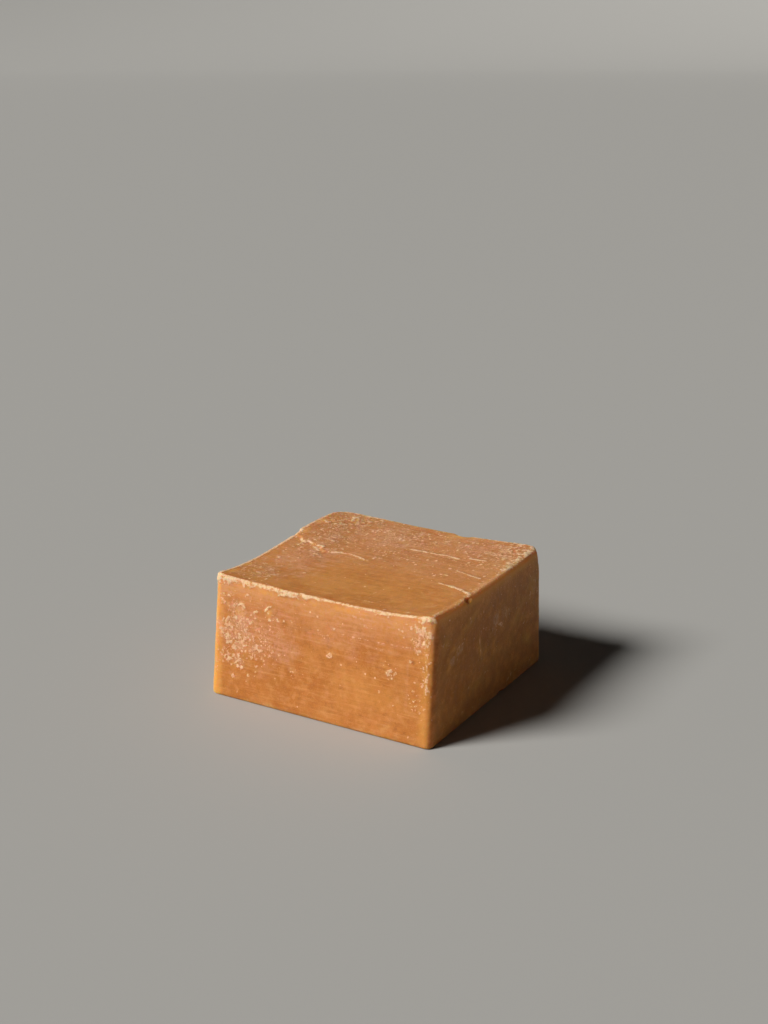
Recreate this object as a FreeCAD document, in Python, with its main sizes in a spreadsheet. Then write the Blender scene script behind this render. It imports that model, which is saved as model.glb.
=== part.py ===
"""A used bar of soap: one solid block with leaning cut faces, a dished top and worn edges.

Units are millimetres. The origin is the centre of the underside, +X runs along the front
cut face, +Y from the front face to the back, +Z up.
"""
import FreeCAD, Part
import os

NODE = "soap_bar"

# The block, and how far each face has leaned in at the nominal height
BLOCK = {
    "base_width": 88.6,
    "base_depth": 87.2,
    "nominal_height": 45.0,
    "lean_left": 1.0,
    "lean_right": 0.4,
    "lean_front": 4.5,
    "lean_back": 2.1,
    "blank_spare": 4.0,
}

# Roundings of the four upright edges
CORNERS = ("front_left", "front_right", "back_right", "back_left")
UPRIGHT_ROUNDS = (2.8, 2.6, 4.4, 4.2)

# Worn roundings of the four top edges, and all round the foot
SIDES = ("front", "right", "back", "left")
WEAR = {
    "wear_front": 1.1,
    "wear_right": 1.5,
    "wear_back": 1.5,
    "wear_left": 1.5,
    "wear_foot": 1.0,
}

# The top's control heights, above or below the nominal height, spread evenly over it, and how
# far the outermost ones lie past its edges. The top bends less than they do.
ROWS = ("front", "fore", "middle", "aft", "back")
COLUMNS = ("left", "near_left", "centre", "near_right", "right")
TOP_PULLS = {
    "front": (0.2, -3.6, 1.0, -5.6, 1.6),
    "fore": (-4.2, -2.4, -3.2, -2.0, -3.6),
    "middle": (-2.6, -3.2, -2.4, -3.0, 1.6),
    "aft": (4.2, -1.2, -3.0, -1.2, -2.4),
    "back": (-0.8, 0.8, -2.6, -1.0, 0.8),
}
TOP_MARGIN = {"top_overhang": 2.0}

# Chips: how far along its edge each one lies, its hollow's radius and how deep it bites
# from where the sharp edge was
CHIPS = {
    "left_notch_from_back": 31.5,
    "left_notch_radius": 4.0,
    "left_notch_bite": 1.8,
    "right_nick_from_front": 23.3,
    "right_nick_radius": 2.2,
    "right_nick_bite": 1.6,
    "back_flake_from_left": 55.5,
    "back_flake_radius": 8.0,
    "back_flake_bite": 1.6,
    "foot_nick_from_back": 33.4,
    "foot_nick_radius": 3.0,
    "foot_nick_bite": 1.2,
}


def driving_sizes():
    sizes = {**BLOCK, **WEAR, **TOP_MARGIN, **CHIPS}
    for corner, radius in zip(CORNERS, UPRIGHT_ROUNDS):
        sizes[f"round_{corner}"] = radius
    for row in ROWS:
        for column, pull in zip(COLUMNS, TOP_PULLS[row]):
            sizes[f"pull_{row}_{column}"] = pull
    return sizes


def make_sheet(doc):
    """The driving dimensions, one alias to a cell."""
    sheet = doc.addObject("Spreadsheet::Sheet", "Sizes")
    for number, (alias, value) in enumerate(driving_sizes().items(), start=1):
        sheet.set(f"A{number}", alias)
        sheet.set(f"B{number}", str(value))
        sheet.setAlias(f"B{number}", alias)
    doc.recompute()
    return sheet


def make_block(doc):
    """The block as cut: four leaning flat faces, up to a level above the whole top."""
    top_level = "(Sizes.nominal_height + Sizes.blank_spare)"
    climb = f"{top_level} / Sizes.nominal_height"
    half_width = "Sizes.base_width / 2"
    half_depth = "Sizes.base_depth / 2"
    reaches = {
        "Ymin": "0",
        "Ymax": top_level,
        "Xmin": f"-{half_width}",
        "Xmax": half_width,
        "X2min": f"Sizes.lean_left * {climb} - {half_width}",
        "X2max": f"{half_width} - Sizes.lean_right * {climb}",
        "Zmin": f"-{half_depth}",
        "Zmax": half_depth,
        "Z2min": f"Sizes.lean_back * {climb} - {half_depth}",
        "Z2max": f"{half_depth} - Sizes.lean_front * {climb}",
    }
    block = doc.addObject("Part::Wedge", "Block")
    for reach, expression in reaches.items():
        block.setExpression(reach, f"({expression}) * 1 mm")
    # A wedge narrows along its own Y. Turned upright, its Z runs from the back to the front.
    block.Placement.Rotation = FreeCAD.Rotation(FreeCAD.Vector(1, 0, 0), 90)
    doc.recompute()
    return block


def round_uprights(doc, sheet, block):
    """Rounds each upright edge by its own radius."""
    edges = []
    for number, edge in enumerate(block.Shape.Edges, start=1):
        if edge.BoundBox.ZLength < sheet.nominal_height:
            continue
        middle = edge.CenterOfMass
        row = "front" if middle.y < 0 else "back"
        column = "left" if middle.x < 0 else "right"
        radius = getattr(sheet, f"round_{row}_{column}")
        edges.append((number, radius, radius))
    blank = doc.addObject("Part::Fillet", "Blank")
    blank.Base = block
    blank.Edges = edges
    doc.recompute()
    return blank


def stations(low, high, count):
    return [low + (high - low) * step / (count - 1) for step in range(count)]


def head_edges(sheet):
    """Where the four faces stand at the nominal height."""
    half_width = sheet.base_width / 2
    half_depth = sheet.base_depth / 2
    return {
        "front": sheet.lean_front - half_depth,
        "right": half_width - sheet.lean_right,
        "back": half_depth - sheet.lean_back,
        "left": sheet.lean_left - half_width,
    }


def top_patch(sheet):
    """The dished, wavy top: one patch drawn towards each control height."""
    edges = head_edges(sheet)
    overhang = sheet.top_overhang
    xs = stations(edges["left"] - overhang, edges["right"] + overhang, len(COLUMNS))
    ys = stations(edges["front"] - overhang, edges["back"] + overhang, len(ROWS))
    patch = Part.BezierSurface()
    patch.increase(len(COLUMNS) - 1, len(ROWS) - 1)
    for row_number, (y, row) in enumerate(zip(ys, ROWS), start=1):
        for column_number, (x, column) in enumerate(zip(xs, COLUMNS), start=1):
            pull = getattr(sheet, f"pull_{row}_{column}")
            pole = FreeCAD.Vector(x, y, sheet.nominal_height + pull)
            patch.setPole(column_number, row_number, pole)
    return patch


def trim_top(doc, sheet, blank, patch):
    """Takes off what lies above the top's patch."""
    waste = doc.addObject("Part::Feature", "Waste")
    thickness = sheet.blank_spare + sheet.nominal_height / 2
    waste.Shape = patch.toShape().extrude(FreeCAD.Vector(0, 0, thickness))
    trimmed = doc.addObject("Part::Cut", "TrimmedBlock")
    trimmed.Base = blank
    trimmed.Tool = waste
    doc.recompute()
    return trimmed


def wear_edges(doc, sheet, trimmed):
    """Rounds each top edge by its own side's wear, a corner from one to the next, and the foot."""
    faces = head_edges(sheet)

    def wear_at(point):
        depths = {
            "front": point.y - faces["front"],
            "right": faces["right"] - point.x,
            "back": faces["back"] - point.y,
            "left": point.x - faces["left"],
        }
        return getattr(sheet, f"wear_{min(depths, key=depths.get)}")

    middle_height = sheet.nominal_height / 2
    edges = []
    for number, edge in enumerate(trimmed.Shape.Edges, start=1):
        if edge.BoundBox.ZMax < middle_height:
            edges.append((number, sheet.wear_foot, sheet.wear_foot))
        elif edge.BoundBox.ZMin > middle_height:
            first = edge.valueAt(edge.FirstParameter)
            last = edge.valueAt(edge.LastParameter)
            edges.append((number, wear_at(first), wear_at(last)))
    worn = doc.addObject("Part::Fillet", "WornBlock")
    worn.Base = trimmed
    worn.Edges = edges
    doc.recompute()
    return worn


def on_top(patch, x, y):
    """The point of the top's patch straight above a place."""
    low = patch.getPole(1, 1)
    high = patch.getPole(len(COLUMNS), len(ROWS))
    return patch.value((x - low.x) / (high.x - low.x), (y - low.y) / (high.y - low.y))


def add_chip(doc, sheet, name, edge_point, outward):
    """A ball that bites into an edge, set off from it along a line out of the bar."""
    words = name.split("_")
    ball = doc.addObject("Part::Sphere", "".join(word.title() for word in words))
    ball.setExpression("Radius", f"Sizes.{name}_radius * 1 mm")
    stand_off = getattr(sheet, f"{name}_radius") - getattr(sheet, f"{name}_bite")
    ball.Placement.Base = edge_point + FreeCAD.Vector(*outward).normalize() * stand_off
    return ball


def make_chips(doc, sheet, patch):
    """The balls for the chips, each beside the place where its sharp edge was."""
    heads = head_edges(sheet)
    places = {
        "left_notch": (heads["left"], heads["back"] - sheet.left_notch_from_back),
        "right_nick": (heads["right"], heads["front"] + sheet.right_nick_from_front),
        "back_flake": (heads["left"] + sheet.back_flake_from_left, heads["back"]),
    }
    outward = {
        "left_notch": (-1, 0, 1),
        "right_nick": (1, 0, 1),
        "back_flake": (0, 1, 1),
    }
    chips = [
        add_chip(doc, sheet, name, on_top(patch, x, y), outward[name])
        for name, (x, y) in places.items()
    ]
    foot_place = FreeCAD.Vector(sheet.base_width / 2, heads["back"] - sheet.foot_nick_from_back, 0)
    chips.append(add_chip(doc, sheet, "foot_nick", foot_place, (1, 0, -1)))
    return chips


def make_bar(doc, worn, chips):
    """The worn block less its chips."""
    bites = doc.addObject("Part::MultiFuse", "Bites")
    bites.Shapes = chips
    bar = doc.addObject("Part::Cut", "SoapBar")
    bar.Base = worn
    bar.Tool = bites
    bar.Label = NODE
    doc.recompute()
    return bar


def check(doc, bar):
    """Stops before anything is written if an object failed or the bar isn't one solid."""
    for item in doc.Objects:
        if {"Invalid", "Error"} & set(item.State):
            raise RuntimeError(f"{item.Name} failed: {item.State}")
    if bar.Shape.isNull() or not bar.Shape.isValid() or len(bar.Shape.Solids) != 1:
        raise RuntimeError(f"{bar.Label} isn't one valid solid")


def main():
    doc = FreeCAD.newDocument("Soap")
    sheet = make_sheet(doc)
    blank = round_uprights(doc, sheet, make_block(doc))
    patch = top_patch(sheet)
    trimmed = trim_top(doc, sheet, blank, patch)
    worn = wear_edges(doc, sheet, trimmed)
    bar = make_bar(doc, worn, make_chips(doc, sheet, patch))
    check(doc, bar)
    os.makedirs("parts", exist_ok=True)
    bar.Shape.exportStep(f"parts/{bar.Label}.step")
    print(f"{bar.Label}: {bar.Shape.Volume / 1000:.1f} cm3, {len(bar.Shape.Faces)} faces")


main()
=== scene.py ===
"""A used bar of soap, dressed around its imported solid.

The bar is one dense skin laid over the solid and then worn, folded, chipped and flaked by
named features. They are given in millimetres: on the top as x and y, on the front and back as
x and z, on the sides as y and z. On a rim of the top they are given as the place along the
rim and the distance from its edge, in over the top or, below 0, down the side. The same
features paint the masks that the material reads.
"""
import math

import bpy
import numpy as np
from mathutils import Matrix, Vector
from mathutils.bvhtree import BVHTree


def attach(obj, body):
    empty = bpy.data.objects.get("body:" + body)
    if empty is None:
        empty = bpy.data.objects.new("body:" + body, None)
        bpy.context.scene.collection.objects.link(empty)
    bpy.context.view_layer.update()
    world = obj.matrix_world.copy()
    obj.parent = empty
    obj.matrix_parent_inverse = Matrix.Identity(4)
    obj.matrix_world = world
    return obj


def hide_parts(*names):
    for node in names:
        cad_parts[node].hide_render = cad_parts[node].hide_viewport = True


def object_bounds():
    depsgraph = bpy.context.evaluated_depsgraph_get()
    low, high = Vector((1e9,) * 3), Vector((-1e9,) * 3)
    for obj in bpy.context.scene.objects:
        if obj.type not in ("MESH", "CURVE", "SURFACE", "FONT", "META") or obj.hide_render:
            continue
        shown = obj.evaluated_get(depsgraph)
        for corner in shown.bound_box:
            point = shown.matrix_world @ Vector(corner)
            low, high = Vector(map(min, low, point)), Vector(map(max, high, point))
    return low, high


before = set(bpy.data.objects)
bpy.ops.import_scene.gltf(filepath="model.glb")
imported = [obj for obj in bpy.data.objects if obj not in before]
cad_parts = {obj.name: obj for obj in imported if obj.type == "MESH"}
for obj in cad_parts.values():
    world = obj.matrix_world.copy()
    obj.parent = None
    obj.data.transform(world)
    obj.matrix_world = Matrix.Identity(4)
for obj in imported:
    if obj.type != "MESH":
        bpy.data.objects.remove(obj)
cad_low, cad_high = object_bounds()

NODE = "soap_bar"
MM = 0.001
SEED = 4476
rng = np.random.default_rng(SEED)
# The masks: pale crust, chalky crumbs, pinkish dusting with a painted sheen, painted glow with
# lighter scuffs, specks, and painted shade
MASKS = ("pale", "chalk", "bloom_and_sheen", "painted_glow_and_scuffs", "fleck", "painted_shade")

# The block that the skin follows, in millimetres
HALF_WIDTH = 44.3
HALF_DEPTH = 43.6
HEIGHT = 45.0
LEAN = {"left": 1.0, "right": 0.4, "front": 4.5, "back": 2.1}

# The skin's cells, how deep inside the rays that lay it start, and its rings under the foot
CELL = 0.5
CORE_DEPTH = 5.0
FOOT_RINGS = (0.35, 0.75, 1.3, 2.3)


def smooth(low, high, value):
    """Rises gently from 0 at low to 1 at high, or falls where high is the smaller."""
    t = np.clip((value - low) / (high - low), 0.0, 1.0)
    return t * t * (3 - 2 * t)


# Smooth noise: the slopes it is made of, and the large odd numbers that deal them out

SLOPES = np.array(
    [(1, 1, 0), (-1, 1, 0), (1, -1, 0), (-1, -1, 0), (1, 0, 1), (-1, 0, 1)]
    + [(1, 0, -1), (-1, 0, -1), (0, 1, 1), (0, -1, 1), (0, 1, -1), (0, -1, -1)],
    float,
)
PLACE_FACTORS = (73856093, 19349663, 83492791)
SEED_FACTOR = 97561
MIXERS = ((13, 1274126177), (15, 668265263))
LAST_SHIFT = 16
LOW_BITS = 0xFFFFFFFF
OCTAVE_SHIFT = 17.3


def slopes_at(cell, seed):
    """A slope for each whole-number place, always the same one for the same place."""
    mixed = seed * SEED_FACTOR
    for column, factor in enumerate(PLACE_FACTORS):
        mixed = mixed ^ (cell[:, column] * factor)
    for shift, factor in MIXERS:
        mixed = ((mixed ^ (mixed >> shift)) * factor) & LOW_BITS
    return SLOPES[(mixed ^ (mixed >> LAST_SHIFT)) % len(SLOPES)]


def noise(points, seed):
    """Smooth noise between about -1 and 1, with features about one unit wide."""
    cell = np.floor(points).astype(np.int64)
    part = points - cell
    fade = part**3 * (part * (part * 6 - 15) + 10)
    total = np.zeros(len(points))
    for corner in np.ndindex(2, 2, 2):
        offset = np.array(corner)
        weight = np.where(offset, fade, 1 - fade).prod(axis=1)
        total += weight * (slopes_at(cell + offset, seed) * (part - offset)).sum(axis=1)
    return total


def grain(points, size, seed, octaves=3):
    """Noise with features of that size, or sizes along x, y and z, and finer ones on them."""
    total = np.zeros(len(points))
    scaled = points / np.asarray(size, float)
    for octave in range(octaves):
        total += noise(scaled * 2**octave + OCTAVE_SHIFT * octave, seed + octave) / 2**octave
    return total


# The skin laid over the solid


def block_points(u, v, w, top):
    """Places in the leaning block. u and v run from -1 to 1 across it, and w from 0 at its foot
    to 1 at its top."""
    z = w * top
    climb = z / HEIGHT
    left = -HALF_WIDTH + LEAN["left"] * climb
    right = HALF_WIDTH - LEAN["right"] * climb
    front = -HALF_DEPTH + LEAN["front"] * climb
    back = HALF_DEPTH - LEAN["back"] * climb
    x = left + (right - left) * (u + 1) / 2
    y = front + (back - front) * (v + 1) / 2
    return np.stack([x, y, z], axis=1)


def solid_tree():
    """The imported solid, ready for rays."""
    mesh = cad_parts[NODE].data
    corners = [v.co / MM for v in mesh.vertices]
    return BVHTree.FromPolygons(corners, [tuple(p.vertices) for p in mesh.polygons])


def top_heights(tree, count=25, reach=0.94):
    """The solid's top at evenly spread places, a little inside its edges."""
    spots = np.linspace(-reach, reach, count)
    v, u = np.meshgrid(spots, spots, indexing="ij")
    above = block_points(u.ravel(), v.ravel(), np.ones(u.size), HEIGHT)
    down = Vector((0, 0, -1))
    heights = [tree.ray_cast(Vector((x, y, 2 * HEIGHT)), down)[0].z for x, y, z in above]
    return spots, np.array(heights).reshape(count, count)


def read_heights(spots, heights, u, v):
    """The top's height between those places."""
    step = spots[1] - spots[0]
    last = len(spots) - 1.001
    column = np.clip((u - spots[0]) / step, 0, last)
    row = np.clip((v - spots[0]) / step, 0, last)
    i, j = column.astype(int), row.astype(int)
    s, t = column - i, row - j
    low = heights[j, i] * (1 - s) + heights[j, i + 1] * s
    high = heights[j + 1, i] * (1 - s) + heights[j + 1, i + 1] * s
    return low * (1 - t) + high * t


def skin_grid():
    """The skin's places on the block as u, v and w, and its faces."""
    across = round(2 * HALF_WIDTH / CELL)
    along = round(2 * HALF_DEPTH / CELL)
    up = round(HEIGHT / CELL)
    us, vs = np.linspace(-1, 1, across + 1), np.linspace(-1, 1, along + 1)
    top_v, top_u = np.meshgrid(vs, us, indexing="ij")
    number = np.arange((across + 1) * (along + 1)).reshape(along + 1, across + 1)
    quads = [(number[:-1, :-1], number[:-1, 1:], number[1:, 1:], number[1:, :-1])]
    rim = np.concatenate(
        [number[0, :-1], number[:-1, -1], number[-1, :0:-1], number[:0:-1, 0]]
    )
    rim_u, rim_v = top_u.ravel()[rim], top_v.ravel()[rim]
    places = [np.stack([top_u.ravel(), top_v.ravel(), np.ones(top_u.size)], axis=1)]
    rows = [rim]
    used = top_u.size
    for level in range(up - 1, -1, -1):
        places.append(np.stack([rim_u, rim_v, np.full(len(rim), level / up)], axis=1))
        rows.append(np.arange(used, used + len(rim)))
        used += len(rim)
    for inset in FOOT_RINGS:
        shrink = 1 - inset / HALF_DEPTH
        places.append(np.stack([rim_u * shrink, rim_v * shrink, np.zeros(len(rim))], axis=1))
        rows.append(np.arange(used, used + len(rim)))
        used += len(rim)
    for upper, lower in zip(rows, rows[1:]):
        quads.append((lower, np.roll(lower, -1), np.roll(upper, -1), upper))
    faces = np.concatenate([np.stack([c.ravel() for c in quad], axis=1) for quad in quads])
    return np.concatenate(places), faces, rows[-1][::-1]


def lay_skin():
    """The skin's points, its faces, the one flat face of its underside and the top over each."""
    tree = solid_tree()
    spots, heights = top_heights(tree)
    places, faces, underside = skin_grid()
    u, v, w = places.T
    top = read_heights(spots, heights, u, v)
    aim = block_points(u, v, w, top)
    reach = 1 - CORE_DEPTH / HALF_DEPTH
    rise = CORE_DEPTH / HEIGHT
    inner_u, inner_v = np.clip(u, -reach, reach), np.clip(v, -reach, reach)
    core = block_points(inner_u, inner_v, np.clip(w, rise, 1 - rise), top)
    points = aim.copy()
    for number, (start, end) in enumerate(zip(core, aim)):
        start, end = Vector(start), Vector(end)
        found = tree.ray_cast(start, (end - start).normalized())[0]
        if found is not None:
            points[number] = found
    return points, faces, underside, top


def point_normals(points, faces):
    """The direction out of the skin at each point."""
    across = points[faces[:, 2]] - points[faces[:, 0]]
    along = points[faces[:, 3]] - points[faces[:, 1]]
    face_normals = np.cross(across, along)
    normals = np.zeros_like(points)
    for corner in range(4):
        np.add.at(normals, faces[:, corner], face_normals)
    return normals / np.linalg.norm(normals, axis=1, keepdims=True)


points, faces, underside, top = lay_skin()
normals = point_normals(points, faces)
normals[underside] = (0, 0, -1)
x, y, z = points.T
facing_x, facing_y, facing_z = normals.T
lift = np.zeros(len(points))
masks = {name: np.zeros(len(points)) for name in MASKS}


def rim(along, in_from_edge, outward):
    """A rim of the top: the place along it, the distance from its edge, and where it holds."""
    holds = smooth(0.25, 0.55, np.maximum(facing_z, outward)) * smooth(28, 32, z)
    return along, in_from_edge - (top - z), holds


# How far each point belongs to each face
climb = top / HEIGHT
on_top = smooth(0.55, 0.85, facing_z)
on_front = smooth(0.5, 0.8, -facing_y)
on_right = smooth(0.5, 0.8, facing_x)
on_back = smooth(0.5, 0.8, facing_y)
on_left = smooth(0.5, 0.8, -facing_x)
FACES = {
    "top": (x, y, on_top),
    "front": (x, z, on_front),
    "right": (y, z, on_right),
    "back": (x, z, on_back),
    "left": (y, z, on_left),
    "front_rim": rim(x, y + HALF_DEPTH - LEAN["front"] * climb, -facing_y),
    "right_rim": rim(y, HALF_WIDTH - LEAN["right"] * climb - x, facing_x),
    "back_rim": rim(x, HALF_DEPTH - LEAN["back"] * climb - y, facing_y),
    "left_rim": rim(y, x + HALF_WIDTH - LEAN["left"] * climb, -facing_x),
}

ragged = grain(points, 1.5, 11, 3)
rough = grain(points, 4.0, 23, 3)

# How much of its given height a crumb keeps, and how much of a face a point must be to count
CRUMB_RELIEF = 0.55
FAINT = 0.02


def paint(mask, cover, near=slice(None)):
    """Paints all the points, or those given."""
    masks[mask][near] = np.maximum(masks[mask][near], cover)


def around(face, a, b, long, short, turn, ragged_by=0.45):
    """The points near a place, and how far out of its oval each one lies, with 1 at the edge."""
    along, across, weight = FACES[face]
    reach = 1.7 * max(long, short)
    close = (abs(along - a) < reach) & (abs(across - b) < reach) & (weight > FAINT)
    near = np.nonzero(close)[0]
    angle = math.radians(turn)
    da, db = along[near] - a, across[near] - b
    s = (da * math.cos(angle) + db * math.sin(angle)) / long
    t = (db * math.cos(angle) - da * math.sin(angle)) / short
    return near, np.hypot(s, t) + ragged_by * ragged[near], weight[near]


def blob(face, a, b, long, short, turn=0.0, high=0.3, mask="pale", strength=1.0, edge=0.45):
    """A crumb, a flake or a pit with a ragged outline. turn is in degrees."""
    near, distance, weight = around(face, a, b, long, short, turn)
    cover = smooth(1.0, 1.0 - edge, distance) * weight
    lift[near] += CRUMB_RELIEF * high * cover * (1 - 0.3 * np.clip(distance, 0, 1))
    if mask:
        paint(mask, strength * cover, near)


def curl(face, a, b, long, short, turn=0.0, high=0.3, strength=1.0, open_to=None):
    """A thin flake with a raised pale rim and painted glow inside, where light shines through the
    thin soap, the rim open on one side.
    """
    near, distance, weight = around(face, a, b, long, short, turn, 0.5)
    band = smooth(0.35, 0.75, distance) * smooth(1.2, 0.95, distance) * weight
    if open_to is not None:
        along, across, _ = FACES[face]
        bearing = np.arctan2(across[near] - b, along[near] - a) - math.radians(open_to)
        band *= smooth(0.9, 0.3, np.cos(bearing))
    inside = smooth(0.9, 0.5, distance) * weight
    lift[near] += CRUMB_RELIEF * high * (band + 0.35 * inside)
    paint("pale", strength * band, near)
    paint("painted_glow_and_scuffs", 0.8 * inside, near)


def ridge(face, line, wide, high, mask="pale", strength=1.0, broken=0.5, seed=31, lee=0.0):
    """A raised fold, or a groove where high is below 0, along a line of places.

    It fades at both ends and breaks up by its own noise. lee also lowers the side that lies
    to the right of the line.
    """
    along, across, weight = FACES[face]
    best = np.full(len(points), np.inf)
    side = np.zeros(len(points))
    done = np.zeros(len(points))
    lengths = [math.dist(p, q) for p, q in zip(line, line[1:])]
    start = 0.0
    for (p, q), length in zip(zip(line, line[1:]), lengths):
        dx, dy = (q[0] - p[0]) / length, (q[1] - p[1]) / length
        s = np.clip((along - p[0]) * dx + (across - p[1]) * dy, 0, length)
        away_a, away_b = along - p[0] - s * dx, across - p[1] - s * dy
        distance = np.hypot(away_a, away_b)
        closer = distance < best
        best = np.where(closer, distance, best)
        side = np.where(closer, dx * away_b - dy * away_a, side)
        done = np.where(closer, (start + s) / sum(lengths), done)
        start += length
    wobble = best + 0.35 * wide * ragged
    ends = smooth(0, 0.12, done) * smooth(1.0, 0.85, done)
    gaps = 1 - broken * smooth(0.1, -0.35, grain(points, 2.0, seed, 2))
    cover = np.exp(-np.clip(wobble, 0, None) ** 2 / wide**2) * ends * gaps * weight
    lift[:] += high * cover
    if lee:
        lift[:] -= lee * smooth(6 * wide, 0, best) * ends * weight * (side < 0)
    if mask:
        paint(mask, strength * cover)


def crust(face, stations, seed, broken=0.8):
    """A crisp crust along a rim.

    Each station has its place along the rim, then the crust's middle as a distance in from the
    edge, its half width, its height and its strength.
    """
    along, across, weight = FACES[face]
    columns = np.array(stations).T
    middle, half, high, strength = (np.interp(along, columns[0], row) for row in columns[1:])
    t = abs(across - middle + 0.2 * ragged) / half
    crumbs = grain(points, 1.3, seed, 3)
    solid = 1 - broken * smooth(0.05, -0.4, crumbs)
    cover = smooth(1.15, 0.7, t) * solid * weight
    lift[:] += high * cover * (0.55 + 0.45 * crumbs)
    paint("pale", strength * cover)


def scatter(face, centre, spread, count, sizes, high=0.25, mask="pale", strength=1.0, slim=0.55):
    """Many small crumbs about a place, the smallest ones the most common."""
    for _ in range(count):
        a, b = np.array(centre) + rng.normal(0, 1, 2) * spread
        size = sizes[0] + (sizes[1] - sizes[0]) * rng.random() ** 2
        short = size * rng.uniform(slim, 1.0)
        turn = rng.normal(0, 35)
        raised = high * rng.uniform(0.5, 1.1)
        blob(face, a, b, size, short, turn, raised, mask, strength * rng.uniform(0.7, 1.05))


def patch(mask, face, a, b, long, short, strength, turn=0.0, noisy=0.5):
    """Only paint: a soft-edged area."""
    along, across, weight = FACES[face]
    angle = math.radians(turn)
    da, db = along - a, across - b
    s = (da * math.cos(angle) + db * math.sin(angle)) / long
    t = (db * math.cos(angle) - da * math.sin(angle)) / short
    cover = smooth(1.0, 0.2, np.hypot(s, t) + noisy * rough) * weight * strength
    paint(mask, cover)


# Large and fine unevenness of every face

waves = grain(points, 17.0, 41, 2)
pits = grain(points, 1.3, 47, 2)
drag = grain(points, (14.0, 0.9, 0.9), 53, 2)
knife = grain(points, (0.9, 14.0, 0.9), 59, 2)
lift += 0.14 * waves * smooth(0.0, 3.0, z)
lift += 0.04 * pits
lift += 0.04 * drag * (on_top + on_front + on_back)
lift += 0.04 * knife * (on_right + on_left)

# Front rim: a crisp crust that thickens into lumps, painted glow below it where light shines
# through the edge, a groove behind it with painted shade in it

FRONT_CRUST = (
    (-43.5, -0.45, 1.85, 0.30, 0.95),
    (-36.0, -0.65, 1.55, 0.30, 0.95),
    (-34.5, -0.35, 1.30, 0.15, 0.95),
    (-30.0, -0.35, 1.30, 0.15, 0.95),
    (-28.2, -0.95, 1.45, 0.45, 0.95),
    (-26.4, -0.35, 1.30, 0.15, 0.95),
    (-18.2, -0.35, 1.20, 0.20, 0.95),
    (-16.2, -0.95, 1.35, 0.50, 0.95),
    (-12.5, -1.05, 1.45, 0.60, 1.00),
    (-9.0, -0.85, 1.25, 0.50, 0.95),
    (-7.6, -0.15, 0.95, 0.20, 0.95),
    (-5.4, -0.75, 1.25, 0.45, 1.00),
    (-3.4, 0.05, 0.85, 0.20, 0.95),
    (0.3, -0.45, 0.95, 0.35, 0.95),
    (2.6, 0.10, 0.85, 0.18, 0.95),
    (12.0, 0.10, 0.80, 0.12, 0.95),
    (19.5, 0.10, 0.85, 0.18, 1.00),
    (23.0, -0.25, 1.10, 0.30, 0.95),
    (26.4, -0.25, 1.00, 0.25, 0.95),
    (28.4, 0.10, 0.80, 0.18, 0.95),
    (31.4, 0.10, 0.80, 0.18, 0.95),
    (34.5, -0.15, 1.00, 0.25, 0.95),
    (37.4, -0.05, 0.90, 0.22, 0.95),
    (40.0, -0.85, 1.55, 0.35, 0.95),
    (43.5, -0.45, 1.15, 0.30, 0.95),
)
crust("front_rim", FRONT_CRUST, 61, broken=0.3)
# Painted glow below the crust, where light shines through the edge
for a, b, long, short, strength in (
    (-23.0, -2.4, 4.0, 2.0, 1.0),
    (-33.0, -2.6, 4.5, 1.8, 0.9),
    (-2.6, -2.6, 3.4, 2.0, 0.9),
    (12.0, -2.2, 14.0, 2.2, 1.0),
    (-19.0, -2.8, 4.0, 2.2, 0.8),
    (31.0, -2.2, 6.0, 1.8, 0.8),
):
    patch("painted_glow_and_scuffs", "front_rim", a, b, long, short, strength, noisy=0.3)
# Painted shade in the groove behind the rim
ridge("front_rim", ((-40, 1.8), (44, 1.8)), 0.6, -0.10, "painted_shade", 0.4, broken=0.3, seed=63)
blob("front_rim", -41.5, -1.2, 2.6, 1.9, 0, 0.2, strength=1.1, edge=0.7)
blob("front_rim", -37.5, -1.0, 3.0, 1.3, -10, 0.2, strength=1.0, edge=0.7)
blob("left_rim", -36.5, 0.6, 3.2, 1.6, 0, 0.2, strength=1.05, edge=0.7)
scatter("front_rim", (-39, -3.0), (2.6, 1.1), 22, (0.4, 1.0), 0.2, strength=0.95)
scatter("front_rim", (-13, -1.6), (3.0, 0.8), 16, (0.3, 0.8), 0.25, strength=0.95)
scatter("front_rim", (39.6, -1.8), (1.6, 1.1), 12, (0.3, 0.8), 0.22, strength=0.9)
scatter("front_rim", (24, -1.2), (2.0, 0.6), 10, (0.3, 0.7), 0.25, strength=0.9)

# The other rims: a thin pale line with small bumps, with painted glow along them, and on the right
# rim a painted highlight and painted shade in its nick

LEFT_CRUST = (
    (-38.0, 0.40, 2.30, 0.14, 0.95),
    (-34.0, 0.60, 1.80, 0.08, 0.90),
    (-22.0, 0.60, 1.90, 0.12, 0.95),
    (-15.0, 0.60, 1.70, 0.08, 0.90),
    (0.0, 0.60, 1.80, 0.11, 0.95),
    (7.0, 0.60, 1.90, 0.14, 1.00),
    (11.0, 0.80, 2.40, 0.19, 1.00),
    (14.0, 0.60, 1.80, 0.11, 0.90),
    (28.0, 0.60, 1.70, 0.08, 0.85),
    (41.0, 0.60, 1.80, 0.11, 0.85),
)
RIGHT_CRUST = (
    (-38.0, 2.00, 1.17, 0.10, 0.71),
    (-26.0, 1.90, 0.81, 0.06, 0.56),
    (-13.0, 1.90, 1.17, 0.10, 0.75),
    (-4.0, 1.90, 0.81, 0.06, 0.60),
    (10.0, 1.90, 0.99, 0.07, 0.68),
    (14.6, 2.30, 1.62, 0.15, 1.05),
    (19.0, 1.90, 1.08, 0.10, 0.71),
    (30.0, 2.00, 1.44, 0.12, 1.05),
    (41.0, 2.00, 1.44, 0.12, 1.05),
)
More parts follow.
